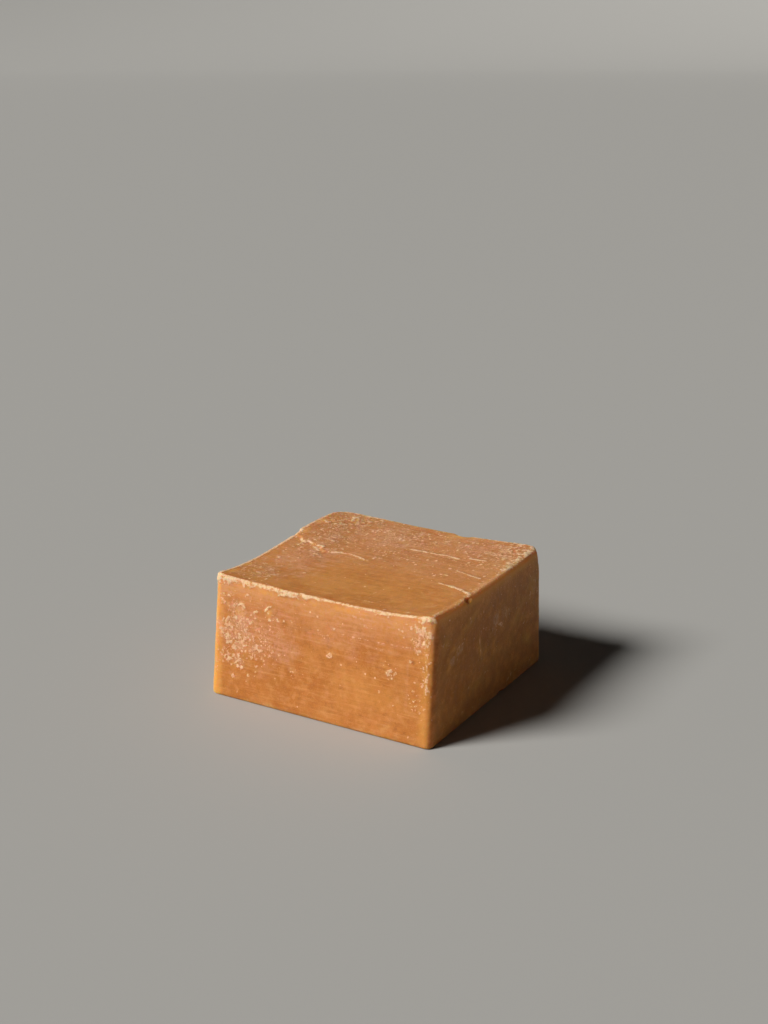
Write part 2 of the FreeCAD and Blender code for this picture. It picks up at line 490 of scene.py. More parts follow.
BACK_CRUST = (
    (-43.0, 1.00, 1.60, 0.17, 1.20),
    (-29.0, 0.90, 1.50, 0.17, 1.15),
    (-10.0, 0.40, 1.02, 0.08, 0.80),
    (10.0, 0.40, 1.10, 0.10, 0.85),
    (28.0, 0.60, 1.61, 0.17, 1.00),
    (43.0, 0.60, 1.87, 0.17, 1.05),
)
crust("left_rim", LEFT_CRUST, 65, broken=0.2)
crust("right_rim", RIGHT_CRUST, 67, broken=0.7)
crust("back_rim", BACK_CRUST, 69, broken=0.6)
# Painted glow along the rims, where light shines through the edges
for face, a, b, long, short in (
    ("left_rim", -33, 3.0, 4.0, 2.0),
    ("left_rim", -24, 2.6, 3.0, 1.6),
    ("left_rim", 12, 3.0, 4.0, 2.0),
    ("left_rim", 24, 2.8, 5.0, 1.8),
    ("back_rim", 10, 3.0, 6.0, 2.0),
):
    patch("painted_glow_and_scuffs", face, a, b, long, short, 0.9, noisy=0.4)
# Painted glow and a painted highlight along the right rim
patch("painted_glow_and_scuffs", "right_rim", 0, 0.8, 50, 3.2, 1.0, noisy=0.3)
patch("bloom_and_sheen", "right_rim", 0, 1.8, 50, 2.2, 0.8, noisy=0.4)
patch("painted_glow_and_scuffs", "back_rim", 0, 0.8, 50, 2.4, 0.6, noisy=0.4)
patch("fleck", "right_rim", 0, 1.6, 50, 2.4, 0.5, noisy=0.4)
# Painted shade in the nick of the right rim
blob("right_rim", -16.5, -0.6, 0.8, 0.5, 0, 0.2, "painted_shade", 0.6)
blob("right_rim", -15.8, -0.6, 2.4, 1.8, 0, 0.0, "painted_shade", 1.0, 0.9)
blob("right_rim", -13.6, 0.4, 0.6, 0.5, 0, -0.2, "painted_shade", 0.7)

# Uprights: painted light. The near left one, which faces the light, gets a painted pale highlight
# outside and painted glow inside; the others get painted glow too

corner_turn = np.minimum(abs(facing_x), abs(facing_y))
upright = smooth(0.25, 0.55, corner_turn)
near_left = (x < 0) * (y < 0)
outer = smooth(0.45, 0.8, -facing_x) * smooth(0.05, 0.3, -facing_y)
paint("pale", outer * (0.45 + 0.35 * smooth(8, 40, z)))
paint("painted_glow_and_scuffs", smooth(0.02, 0.25, corner_turn) * near_left)
paint("painted_glow_and_scuffs", upright * 0.5 * (y > 0))
paint("painted_glow_and_scuffs", on_front * smooth(-38.0, -42.0, x + 1.5 * rough))
paint("painted_glow_and_scuffs", on_left * 0.8 * smooth(-34.0, -39.5, y + 3.0 * rough))
paint("painted_glow_and_scuffs", on_front * 0.5 * smooth(38.0, 41.5, x + rough))
paint("painted_glow_and_scuffs", on_right * smooth(38.0, 41.5, y + rough))

# The two back corners and the right rim are rounder than the solid's

for corner_x, corner_y, wide, depth, low, high in (
    (44.0, 41.5, 3.2, 1.1, 36, 43),
    (-43.5, 41.5, 3.5, 0.7, 38, 45),
):
    away = (x - corner_x) ** 2 + (y - corner_y) ** 2
    lift -= depth * np.exp(-away / wide**2) * smooth(low, high, z)
_, rim_in, on_rim = FACES["right_rim"]
lift -= 0.45 * np.exp(-((rim_in / 2.0) ** 2)) * on_rim
# Painted glow in a band across the right rim, where light shines through the edge
paint("painted_glow_and_scuffs", smooth(-4.5, -0.5, rim_in) * smooth(1.5, 0.0, rim_in) * on_rim)
lift += upright * 0.10 * grain(points, (1.5, 1.5, 5.0), 79, 3)

# Top: the layer behind the lip

LIP = (
    (-44, 9.5),
    (-39, 7.2),
    (-36, 4.6),
    (-34, 5.2),
    (-31, 4.0),
    (-28, 3.4),
    (-25.5, 1.2),
    (-23.6, 0.5),
    (-18.7, 2.8),
    (-14.8, 3.4),
    (-10.7, 2.4),
    (-7.0, 1.1),
    (-4.0, 0.5),
)
lip_y = np.interp(x, [p[0] for p in LIP], [p[1] for p in LIP])
behind = y - lip_y + 0.6 * ragged
fade = smooth(-2.0, -32.0, x) * on_top
lift += fade * 0.40 * smooth(-0.3, 0.5, behind) * smooth(22, 2, behind)
lift -= fade * 0.28 * smooth(-9, -0.2, behind) * (behind < 0)
# Painted shade in the crease at the foot of the step up to the layer
paint("painted_shade", fade * 0.35 * smooth(-2.0, -0.4, behind) * (behind < 0))

# Top: folds. Each has its places, half width, height, mask, strength, brokenness and lee.

FOLDS = (
    (((-39, 7.2), (-36, 4.6), (-34, 5.6), (-31, 4.2)), 0.7, 0.14, "pale", 1.15, 0.3, 0),
    (((-31.5, 3.6), (-29, 2.7), (-27.4, 1.4), (-26, 0.1)), 0.75, 0.16, "pale", 1.15, 0.3, 0),
    (((-29.4, 3.9), (-27.1, 4.2), (-25.6, 3.2)), 0.8, 0.16, "pale", 1.15, 0.2, 0),
    (((-26, 0.1), (-26.2, -3.2), (-24.7, -5.8)), 0.7, 0.12, "pale", 1.05, 0.5, 0),
    (
        ((-23.6, 0.5), (-18.7, 2.8), (-14.8, 3.4), (-10.7, 2.4), (-7, 1.1), (-3.6, 0.4)),
        0.5, 0.24, "pale", 1.15, 0.35, 0.10,
    ),
    (((-18, 0.6), (-12, 0.4), (-8, -0.8)), 0.4, 0.10, "chalk", 0.75, 0.5, 0),
    (((-10, 10.3), (-6.5, 12.2), (-4.2, 11.9), (-1.0, 14.4)), 0.6, 0.14, "pale", 0.95, 0.5, 0),
    (
        ((0, 18.2), (7.2, 18.8), (14.1, 18.3), (16.6, 19.0), (20.4, 17.9), (24.6, 17.0)),
        0.6, 0.20, "pale", 1.2, 0.25, 0.10,
    ),
    (((24.6, 19.6), (27.8, 19.1), (29.9, 18.9), (33.4, 19.2)), 0.75, 0.28, "pale", 1.2, 0.3, 0),
    (((26.0, 6.6), (31.3, 4.8), (35.2, 3.2), (40.2, 1.9)), 0.65, 0.20, "pale", 1.2, 0.3, 0),
    (((22.6, 2.0), (27.4, 0.6)), 0.5, 0.12, "pale", 0.95, 0.5, 0),
    (((26.4, -6.8), (29.8, -7.8), (34, -8.6)), 0.6, 0.20, "pale", 1.2, 0.15, 0),
    (((32, -8.2), (37, -9.9), (40.3, -11.9), (43.6, -13.4)), 0.9, 0.30, "pale", 1.2, 0.2, 0.12),
    (
        ((10.8, -33.6), (11.5, -31.4), (11.8, -26.7), (12.9, -22.8)),
        0.5, -0.06, "chalk", 0.75, 0.5, 0,
    ),
    (
        ((8.4, -33.3), (12.8, -32.9), (16.6, -33.4), (19.8, -30.0)),
        0.5, 0.06, "chalk", 0.75, 0.5, 0,
    ),
    (((13.5, -31.5), (14.2, -27.0)), 0.5, -0.05, "chalk", 0.65, 0.5, 0),
)
for seed, (line, wide, high, mask, strength, broken, lee) in enumerate(FOLDS, start=81):
    ridge("top", line, wide, high, mask, strength, broken, seed, lee)

# Top: flakes and crumbs

curl("top", -37.2, 26.0, 2.4, 1.8, 60, 0.35, 0.9, open_to=0)
curl("top", -30.2, 32.5, 3.4, 1.4, 110, 0.40, 1.0, open_to=-40)
curl("top", -41.2, 9.5, 1.4, 1.0, 0, 0.2, 0.5)
for a, b, long, short, turn, high in (
    (-32.6, 34.6, 1.0, 0.7, 50, 0.40),
    (-31.2, 36.6, 1.7, 0.9, 60, 0.45),
    (-33.6, 24.8, 1.8, 0.6, 15, 0.35),
    (-34.2, 28.4, 1.2, 0.5, 40, 0.35),
    (-26.8, 3.4, 1.3, 0.9, 70, 0.35),
    (-26.3, 32.1, 1.1, 0.7, 30, 0.35),
    (-24.7, 33.2, 0.9, 0.6, 0, 0.30),
    (-22.7, 34.8, 0.8, 0.6, 0, 0.28),
    (-28.0, 38.9, 2.0, 0.7, 10, 0.35),
    (-31.8, 25.4, 1.9, 0.6, 25, 0.30),
    (-26.6, 10.1, 1.6, 0.6, 10, 0.28),
    (-27.3, 15.8, 0.7, 0.5, 0, 0.20),
    (-33.4, 0.3, 1.2, 0.7, 40, 0.28),
    (-36.0, 1.6, 0.9, 0.8, 0, 0.22),
    (-26.8, -28.5, 1.1, 0.6, 30, 0.22),
    (-27.8, -31.9, 1.0, 0.7, 30, 0.22),
    (-26.0, -33.3, 0.8, 1.1, 0, 0.22),
    (-35.6, -12.1, 1.1, 0.8, 20, 0.20),
    (20.1, -5.8, 0.8, 0.6, 0, 0.22),
    (32.1, 15.3, 1.0, 0.6, 20, 0.25),
    (34.5, 16.8, 1.3, 0.7, 15, 0.30),
    (37.1, 16.3, 1.2, 0.7, -20, 0.30),
    (38.6, 14.1, 0.9, 0.6, 0, 0.28),
    (36.2, 24.5, 1.1, 0.7, 10, 0.28),
    (39.9, 20.9, 0.9, 0.9, 0, 0.25),
    (42.0, 14.6, 1.7, 1.1, 20, 0.35),
    (-2.8, 11.5, 0.8, 0.5, 0, 0.20),
    (35.5, 35.8, 1.5, 0.9, 40, 0.35),
    (37.8, 33.0, 1.4, 0.8, -30, 0.35),
    (33.1, 38.0, 1.2, 0.7, 0, 0.30),
    (41.3, 32.4, 1.3, 0.8, 30, 0.35),
    (42.2, -37.2, 1.0, 0.9, 0, 0.25),
):
    blob("top", a, b, long, short, turn, high, strength=0.9)
for a, b, long, short, turn in (
    (-25.4, 34.4, 2.4, 1.3, 10),
    (-23.0, 36.4, 1.8, 1.0, 10),
    (-21.5, 38.5, 2.0, 0.9, 0),
    (-27.8, 13.2, 1.6, 0.9, 0),
    (-25.7, -2.6, 1.8, 1.2, 0),
    (-36.1, -11.3, 1.3, 0.9, 0),
    (-18.5, -20.7, 1.0, 0.8, 0),
    (-32.5, -28.9, 1.7, 1.0, 20),
    (-38.0, -30.0, 1.5, 0.8, 0),
    (-34.0, -25.0, 1.4, 0.8, 0),
    (35.9, 39.0, 3.2, 1.2, 10),
    (40.0, 35.0, 2.6, 1.2, 40),
):
    blob("top", a, b, long, short, turn, 0.25, "chalk", 1.0, 0.8)
scatter("top", (-34, 27), (4.5, 6.0), 50, (0.45, 1.2), 0.20, "chalk", 0.9, 0.4)
scatter("top", (-26, 33), (4.5, 3.0), 30, (0.4, 1.1), 0.22, "chalk", 0.95, 0.4)
scatter("top", (-31, 3), (4.5, 3.0), 34, (0.4, 1.1), 0.20, "chalk", 0.95, 0.4)
scatter("top", (-25, -4), (2.5, 3.0), 18, (0.4, 1.0), 0.16, "chalk", 0.9, 0.4)
scatter("top", (-26, 14), (5.0, 4.0), 30, (0.4, 1.0), 0.14, "chalk", 0.85, 0.4)
scatter("top", (34, 34), (4.5, 4.0), 44, (0.35, 1.1), 0.26, strength=0.9)
scatter("top", (33, 33), (5.5, 4.5), 60, (0.4, 1.0), 0.20, "chalk", 0.95, 0.4)
scatter("top", (35, 24), (4.0, 3.5), 50, (0.4, 0.9), 0.20, "chalk", 0.9, 0.4)
scatter("top", (37, 16), (3.0, 2.0), 18, (0.3, 0.8), 0.20, strength=0.8)
scatter("top", (-36, -22), (3.4, 8.0), 60, (0.4, 1.1), 0.14, "chalk", 0.85, 0.4)
scatter("top", (-30, -32), (4.5, 2.8), 34, (0.4, 1.1), 0.14, "chalk", 0.85, 0.4)
scatter("top", (-17, -21), (1.8, 1.8), 10, (0.4, 1.0), 0.10, "chalk", 0.75, 0.4)
scatter("top", (8, 32), (16.0, 5.0), 90, (0.35, 0.9), 0.12, "chalk", 0.8, 0.4)
scatter("top", (-14, 24), (12.0, 7.0), 90, (0.35, 0.9), 0.12, "chalk", 0.8, 0.4)
scatter("top", (-22, 27), (6.0, 6.0), 50, (0.4, 1.1), 0.14, "chalk", 0.85, 0.4)
scatter("top", (-6, 11), (4.0, 1.2), 18, (0.35, 0.8), 0.12, "chalk", 0.9, 0.4)
scatter("top", (40.5, -4), (1.4, 15.0), 50, (0.35, 0.9), 0.14, "chalk", 0.85, 0.5)
scatter("top", (32, -37), (7.0, 0.8), 22, (0.35, 0.8), 0.15, "chalk", 0.85, 0.4)

# Top: dusting, with a painted sheen that grows towards the back, and patches of painted glow

# Partly painted sheen: the dusting grows towards the back of the top
paint("bloom_and_sheen", on_top * 0.45 * smooth(-14, 6, y + 3 * rough))
paint("fleck", on_top * 0.35 * smooth(-10, 12, y + 4 * rough))
patch("bloom_and_sheen", "top", -12, 24, 30, 17, 0.95, noisy=0.6)
patch("bloom_and_sheen", "top", -28, -8, 17, 28, 0.85, noisy=0.6)
patch("bloom_and_sheen", "top", 24, 30, 24, 13, 0.90, noisy=0.6)
patch("bloom_and_sheen", "top", 38, 6, 6, 30, 0.35, noisy=0.6)
patch("bloom_and_sheen", "top", -27, 12, 6, 6, 1.2, noisy=0.4)
patch("fleck", "top", -30, 16, 16, 30, 0.65, noisy=0.7)
patch("fleck", "top", -4, 28, 36, 15, 0.65, noisy=0.8)
patch("fleck", "top", 34, 28, 12, 16, 0.75, noisy=0.6)
patch("fleck", "top", -34, -28, 13, 16, 0.6, noisy=0.7)
# Painted glow in two patches
patch("painted_glow_and_scuffs", "top", 9, 36, 4, 2, 0.7, noisy=0.4)
patch("painted_glow_and_scuffs", "top", 2, -24, 36, 15, 0.15, noisy=0.4)

# Front: flakes and crumbs

# Painted glow at two places near the top edge
patch("painted_glow_and_scuffs", "front", -32.4, 32.0, 2.6, 3.0, 1.0, noisy=0.2)
patch("painted_glow_and_scuffs", "front", -20.2, 33.8, 1.8, 2.4, 1.0, noisy=0.2)
curl("front", 40.7, 34.6, 2.0, 0.8, -30, 0.30, 0.85)
for a, b, long, short, turn, high in (
    (-34.8, 33.8, 0.9, 1.1, 0, 0.35),
    (-32.6, 34.7, 1.6, 0.8, 5, 0.40),
    (-30.4, 34.3, 1.0, 0.9, -30, 0.35),
    (-34.7, 31.8, 0.6, 1.5, -5, 0.30),
    (-34.0, 29.6, 0.5, 1.2, 15, 0.25),
    (-21.3, 35.0, 0.9, 1.8, -35, 0.45),
    (-19.7, 36.3, 1.0, 0.7, 20, 0.40),
    (-20.3, 34.0, 0.8, 0.9, 0, 0.30),
    (-20.1, 31.6, 1.1, 0.9, 0, 0.25),
    (-18.8, 33.4, 1.2, 0.5, 0, 0.18),
    (-16.4, 31.8, 1.0, 0.7, -20, 0.22),
    (-14.0, 32.4, 0.9, 0.6, 0, 0.22),
    (-11.1, 33.0, 0.7, 0.5, 0, 0.20),
    (-9.8, 33.3, 0.6, 0.5, 0, 0.18),
    (-26.0, 33.2, 1.3, 0.8, 30, 0.20),
    (-39.2, 36.7, 0.8, 1.2, 0, 0.22),
    (-37.0, 37.2, 0.9, 1.0, 30, 0.22),
    (-23.0, 26.2, 0.6, 0.6, 0, 0.18),
    (-3.7, 37.6, 0.6, 0.5, 0, 0.15),
    (-0.8, 36.4, 0.6, 0.5, 0, 0.15),
    (-0.4, 32.0, 0.7, 0.7, 0, 0.20),
    (6.0, 33.7, 0.7, 0.6, 0, 0.20),
    (9.0, 21.8, 0.6, 0.5, 0, 0.16),
    (27.0, 22.8, 0.9, 1.0, 0, 0.26),
    (28.6, 24.0, 1.0, 0.6, 20, 0.24),
    (29.8, 23.0, 0.6, 1.0, 0, 0.22),
    (28.9, 21.4, 0.9, 0.6, -20, 0.22),
    (27.6, 20.6, 0.6, 0.5, 0, 0.20),
    (22.6, 20.3, 0.8, 0.6, 0, 0.22),
    (29.9, 12.4, 0.7, 0.5, 0, 0.20),
    (35.3, 28.7, 1.0, 0.9, 0, 0.35),
    (37.4, 18.8, 0.6, 0.6, 0, 0.20),
    (39.2, 40.2, 0.7, 0.8, 0, 0.25),
    (38.2, 36.4, 0.8, 0.9, 0, 0.22),
    (41.7, 21.4, 0.7, 1.4, 0, 0.20),
    (41.5, 27.5, 0.6, 1.3, 0, 0.18),
):
    blob("front", a, b, long, short, turn, high, strength=0.85)
# Painted shade in a small pit
blob("front", 36.6, 28.4, 0.7, 1.1, 0, -0.25, "painted_shade", 0.9)
blob("front", 4.6, 23.9, 1.9, 1.4, 10, 0.2, "chalk", 0.8)
blob("front", 24.5, 15.8, 1.2, 1.3, 10, 0.2, "chalk", 0.8, 0.8)
blob("front", 4.6, 23.7, 1.0, 0.9, 0, 0.1, "chalk", 0.9, 0.8)
scatter("front", (-33.5, 26), (4.4, 5.5), 72, (0.40, 1.15), 0.16, "chalk", 1.0, 0.4)
scatter("front", (-37.8, 27), (1.5, 6.0), 36, (0.45, 1.1), 0.16, "chalk", 1.0, 0.4)
scatter("front", (-35.5, 16), (2.4, 3.0), 30, (0.4, 1.1), 0.16, "chalk", 1.0, 0.4)
scatter("front", (-26.0, 21), (3.0, 3.5), 40, (0.45, 1.1), 0.14, "chalk", 0.9, 0.4)
scatter("front", (-31, 18), (5.0, 5.5), 80, (0.4, 1.0), 0.14, "chalk", 0.9, 0.4)
scatter("front", (-38, 37), (2.0, 2.6), 20, (0.4, 0.9), 0.14, "chalk", 0.9, 0.4)
scatter("front", (-23, 30), (4.0, 3.0), 26, (0.4, 0.9), 0.14, "chalk", 0.9, 0.4)
scatter("front", (-21, 19), (4.0, 2.0), 28, (0.4, 0.9), 0.12, "chalk", 0.85, 0.4)
scatter("front", (-9, 15), (2.0, 1.6), 16, (0.4, 0.9), 0.12, "chalk", 0.85, 0.4)
scatter("front", (28.6, 22.6), (1.4, 1.3), 14, (0.3, 0.7), 0.2, strength=0.8)
scatter("front", (38.2, 14.4), (0.9, 1.1), 20, (0.3, 0.8), 0.28, strength=1.0)
scatter("front", (39.0, 38), (2.4, 2.6), 50, (0.4, 1.1), 0.18, "chalk", 1.0, 0.45)
scatter("front", (40.8, 26), (1.0, 7.0), 56, (0.4, 1.0), 0.14, "chalk", 0.95, 0.5)
scatter("front", (39.5, 14), (2.0, 4.0), 30, (0.4, 0.9), 0.14, "chalk", 0.9, 0.5)
scatter("front", (33, 37), (5.0, 2.0), 22, (0.35, 0.8), 0.12, "chalk", 0.75, 0.4)
scatter("front", (2, 28), (22.0, 8.0), 60, (0.3, 0.55), 0.10, "chalk", 0.8, 0.5)
for seed, (start_x, start_z, end_x, end_z, strength) in enumerate(
    (
        (12.4, 39.6, 18.0, 38.7, 0.55),
        (15.6, 37.2, 19.6, 36.8, 0.45),
        (7.0, 32.2, 15.0, 32.5, 0.50),
        (14.0, 32.4, 27.0, 32.5, 0.40),
        (26.0, 32.7, 40.0, 33.3, 0.35),
        (2.0, 34.8, 12.0, 34.9, 0.25),
        (-6.0, 30.4, 6.0, 30.7, 0.25),
        (20.0, 30.2, 32.0, 30.6, 0.25),
        (27.0, 39.4, 33.4, 37.6, 0.45),
        (30.4, 41.2, 38.0, 39.6, 0.45),
    ),
    start=101,
):
    line = ((start_x, start_z), (end_x, end_z))
    ridge("front", line, 0.7, 0.07, "bloom_and_sheen", 2 * strength, seed=seed)
    ridge("front", line, 0.5, 0.0, "chalk", strength + 0.35, broken=0.9, seed=seed)
ridge("front", ((34.5, 30.7), (34.5, 10.3)), 0.3, 0.05, "bloom_and_sheen", 0.7, seed=99)

# Front: dusting, and painted light: paler and brighter towards the top edge, with a faint painted
# glow lower down

patch("bloom_and_sheen", "front", -32, 26, 13, 17, 1.0, noisy=0.6)
patch("bloom_and_sheen", "front", -17, 25, 14, 15, 0.75, noisy=0.6)
patch("bloom_and_sheen", "front", 8, 31, 20, 8, 0.5, noisy=0.6)
patch("bloom_and_sheen", "front", -8, 33, 22, 6, 0.35, noisy=0.6)
patch("bloom_and_sheen", "front", 22, 36, 26, 6, 0.35, noisy=0.6)
patch("bloom_and_sheen", "front", 39, 38, 5, 7, 0.6, noisy=0.5)
patch("fleck", "front", -33, 25, 12, 16, 0.8, noisy=0.7)
patch("fleck", "front", -22, 24, 10, 9, 0.5, noisy=0.6)
patch("fleck", "front", 39, 36, 5, 9, 0.8, noisy=0.5)
patch("fleck", "front", 41.5, 24, 2, 14, 0.6, noisy=0.4)
patch("fleck", "front", 28.4, 22.6, 3, 3, 0.6, noisy=0.4)
# Painted light: the front grows paler and brighter towards its top edge
paint("bloom_and_sheen", on_front * 0.6 * smooth(30, 39, z + rough))
paint("painted_glow_and_scuffs", on_front * 0.6 * smooth(34, 41, z + rough))
patch("painted_glow_and_scuffs", "front", 20, 14, 20, 9, 0.20, noisy=0.5)

# Right: scuffs, scratches and crumbs, and painted shade on the face turned from the light

scatter("right", (2, 28), (22.0, 7.0), 44, (0.4, 1.0), 0.14, "chalk", 0.62, 0.4)
scatter("right", (34, 33), (4.0, 5.0), 40, (0.4, 1.1), 0.18, "chalk", 0.9, 0.4)
scatter("right", (4.5, 28), (2.2, 3.0), 16, (0.5, 1.4), 0.16, "chalk", 0.85, 0.4)
for seed, (start_y, start_z, end_y, end_z) in enumerate(
    (
        (-36, 22, -20, 30),
        (-33, 27, -14, 37),
        (-14, 15, 6, 24),
        (0, 30, 18, 36),
        (12, 16, 30, 26),
    ),
    start=121,
):
    line = ((start_y, start_z), (end_y, end_z))
    ridge("right", line, 1.2, 0.08, "painted_glow_and_scuffs", 0.6, broken=0.9, seed=seed)
# Painted shade: the right face, turned from the light, is darkened below its top edge
paint("painted_shade", on_right * 0.85 * smooth(0.8, -0.5, rough) * smooth(41, 35, z))
patch("bloom_and_sheen", "right", -6, 26, 30, 13, 0.2, turn=33, noisy=1.1)
for a, b, long, short, turn, strength in (
    (4.7, 28.8, 4.2, 5.0, 0, 0.75),
    (11.5, 29.8, 3.0, 2.6, 0, 0.80),
    (-23.5, 28.6, 3.8, 3.2, 20, 0.80),
    (-28.6, 25.9, 2.8, 2.0, 0, 0.80),
    (-33.0, 33.0, 4.0, 2.4, 30, 0.60),
    (-14.0, 36.0, 9.0, 2.0, 25, 0.55),
    (20.0, 25.0, 12.0, 3.0, 33, 0.50),
    (-8.0, 12.0, 8.0, 3.0, 25, 0.50),
    (30.0, 14.0, 5.0, 5.0, 0, 0.60),
    (33.0, 32.0, 4.0, 7.0, 0, 0.65),
):
    patch("painted_glow_and_scuffs", "right", a, b, long, short, 1.3 * strength, turn, noisy=0.9)
    scatter("right", (a, b), (0.5 * long, 0.5 * short), 10, (0.4, 1.0), 0.14, "chalk", 0.85, 0.4)
for a, b, long, short in (
    (4.7, 28.8, 4.2, 5.0),
    (11.5, 29.8, 3.0, 2.6),
    (-23.5, 28.6, 3.8, 3.2),
    (-28.6, 25.9, 2.8, 2.0),
):
    patch("bloom_and_sheen", "right", a, b, long, short, 1.1, noisy=0.9)
    patch("fleck", "right", a, b, long, short, 0.8, noisy=0.7)
SCRATCH = ((-9.2, 31.0), (-8.4, 24.0), (-6.4, 16.0))
ridge("right", SCRATCH, 0.6, 0.06, "painted_glow_and_scuffs", 1.0, broken=0.4, seed=97)
ridge("right", SCRATCH, 0.5, 0.05, "chalk", 0.9, broken=0.5, seed=98)
patch("fleck", "right", 2, 28, 32, 13, 0.15, turn=33, noisy=0.9)
patch("fleck", "right", 36, 32, 7, 12, 0.55, noisy=0.7)

# Back and left, hidden in the picture: the same kind of wear, more thinly spread

HIDDEN_WEAR = {
    # Each worn place has its middle, its reach along and across, and its turn in degrees
    "back": ((-24, 31, 9.0, 4.5, 12), (-6, 24, 12.0, 5.0, -10), (27, 20, 6.0, 8.0, 20)),
    "left": ((-27, 25, 5.0, 8.0, 0), (4, 32, 11.0, 4.0, 10), (26, 17, 9.0, 5.0, -15)),
}
for seed, (face, places) in zip((141, 151), HIDDEN_WEAR.items()):
    for a, b, long, short, turn in places:
        spread = (0.75 * long, 0.75 * short)
        scatter(face, (a, b), spread, 46, (0.35, 1.1), 0.16, "chalk", 0.9, 0.4)
        patch("bloom_and_sheen", face, a, b, 2.2 * long, 2.2 * short, 0.6, turn, noisy=0.8)
        patch("fleck", face, a, b, 1.8 * long, 1.8 * short, 0.7, turn, noisy=0.8)
    scatter(face, (0, 26), (26.0, 11.0), 50, (0.35, 0.9), 0.14, strength=0.8)
    for step, (start_a, start_b, end_a, end_b) in enumerate(
        ((-30, 34, -12, 35), (-6, 28, 14, 29), (10, 38, 28, 37), (-20, 16, 4, 17))
    ):
        ends = ((start_a, start_b), (end_a, end_b))
        ridge(face, ends, 0.6, 0.07, "bloom_and_sheen", 0.9, seed=seed + step)
    # Painted glow towards the top edge
    paint("painted_glow_and_scuffs", FACES[face][2] * 0.4 * smooth(34, 42, z + rough))

# Crumbs inside the back of the right rim, and along the foot of the right side

scatter("top", (41.4, 25), (1.0, 7.0), 60, (0.45, 1.2), 0.22, strength=1.0)
scatter("right", (12, 3.4), (13.0, 1.4), 44, (0.4, 1.0), 0.2, "chalk", 0.9, 0.45)

# The foot stays flat and the whole skin stays inside the solid's box

lift *= smooth(0.0, 1.2, z)
moved = points + normals * lift[:, None]
moved = np.clip(moved, np.array(cad_low) / MM, np.array(cad_high) / MM)


def make_bar():
    """The worn skin as one mesh, with the masks that its material reads."""
    mesh = bpy.data.meshes.new("worn_bar")
    polygons = faces.tolist() + [underside.tolist()]
    mesh.from_pydata((moved * MM).tolist(), [], polygons)
    mesh.shade_smooth()
    for name, values in masks.items():
        layer = mesh.attributes.new(name, "FLOAT", "POINT")
        layer.data.foreach_set("value", np.clip(values, 0, 1).astype(np.float32))
    mesh.validate()
    bar = bpy.data.objects.new("worn_bar", mesh)
    bpy.context.collection.objects.link(bar)
    return bar


# Colours of the soap, in linear light

DEEP = (0.57, 0.205, 0.046)
WARM = (0.66, 0.262, 0.070)
SOFT = (0.76, 0.370, 0.140)
# Darker tone for mottling and streaks, also used as painted shade
DARK = (0.38, 0.138, 0.042)
# Lighter orange for painted glow, where light shines through the soap, and for lighter scuffs
GLOW_AND_SCUFFS = (0.88, 0.430, 0.105)
# Pinkish dusting, also used as painted sheen and highlight
BLOOM_AND_SHEEN = (0.77, 0.385, 0.240)
DUST = (0.95, 0.560, 0.350)
PALE = (0.98, 0.690, 0.430)


class Nodes:
    """Short calls for building a node tree."""

    def __init__(self, material):
        material.use_nodes = True
        self.tree = material.node_tree
        self.tree.nodes.clear()

    def add(self, kind, inputs=None, **settings):
        node = self.tree.nodes.new(kind)
        for name, value in settings.items():
            setattr(node, name, value)
        for name, value in (inputs or {}).items():
            if isinstance(value, bpy.types.NodeSocket):
                self.tree.links.new(value, node.inputs[name])
            else:
                node.inputs[name].default_value = value
        return node

    def mask(self, name):
        return self.add("ShaderNodeAttribute", attribute_name=name).outputs["Fac"]

    def calc(self, kind, a, b=0.0, c=0.0):
        return self.add("ShaderNodeMath", {0: a, 1: b, 2: c}, operation=kind).outputs[0]

    def scaled(self, place, by):
        return self.add("ShaderNodeVectorMath", {0: place, 1: by}, operation="MULTIPLY").outputs[0]

    def noise(self, place, scale, detail=3.0, rough=0.55, bend=0.0):
        inputs = {"Vector": place, "Scale": scale, "Detail": detail, "Roughness": rough}
        inputs["Distortion"] = bend
        return self.add("ShaderNodeTexNoise", inputs).outputs["Fac"]

    def step(self, value, low, high, out_low=0.0, out_high=1.0):
        inputs = {"Value": value, "From Min": low, "From Max": high}
        inputs.update({"To Min": out_low, "To Max": out_high})
        return self.add("ShaderNodeMapRange", inputs, interpolation_type="SMOOTHSTEP").outputs[0]

    def crumbs(self, place, scale, density):
        """Ragged dots of many sizes, at most one to a cell, in as many cells as density says."""
        wander = self.add("ShaderNodeTexNoise", {"Vector": place, "Scale": 2.2, "Detail": 2.0})
        bent = self.add(
            "ShaderNodeVectorMath", {0: wander.outputs["Color"], 1: (0.9, 0.9, 0.9), 2: place},
            operation="MULTIPLY_ADD",
        ).outputs[0]
        cells = self.add("ShaderNodeTexVoronoi", {"Vector": bent, "Scale": scale})
        chance = self.add("ShaderNodeSeparateColor", {0: cells.outputs["Color"]})
        there = self.calc("LESS_THAN", chance.outputs[0], density)
        radius = self.calc("MULTIPLY_ADD", chance.outputs[1], 0.28, 0.14)
        far = self.calc("DIVIDE", cells.outputs["Distance"], radius)
        return self.calc("MULTIPLY", there, self.step(far, 1.1, 0.7))

    def mix(self, share, first, second):
        node = self.add("ShaderNodeMix", {0: share}, data_type="RGBA")
        for socket, value in ((node.inputs[6], first), (node.inputs[7], second)):
            if isinstance(value, bpy.types.NodeSocket):
                self.tree.links.new(value, socket)
            else:
                socket.default_value = (*value, 1)
        return node.outputs[2]


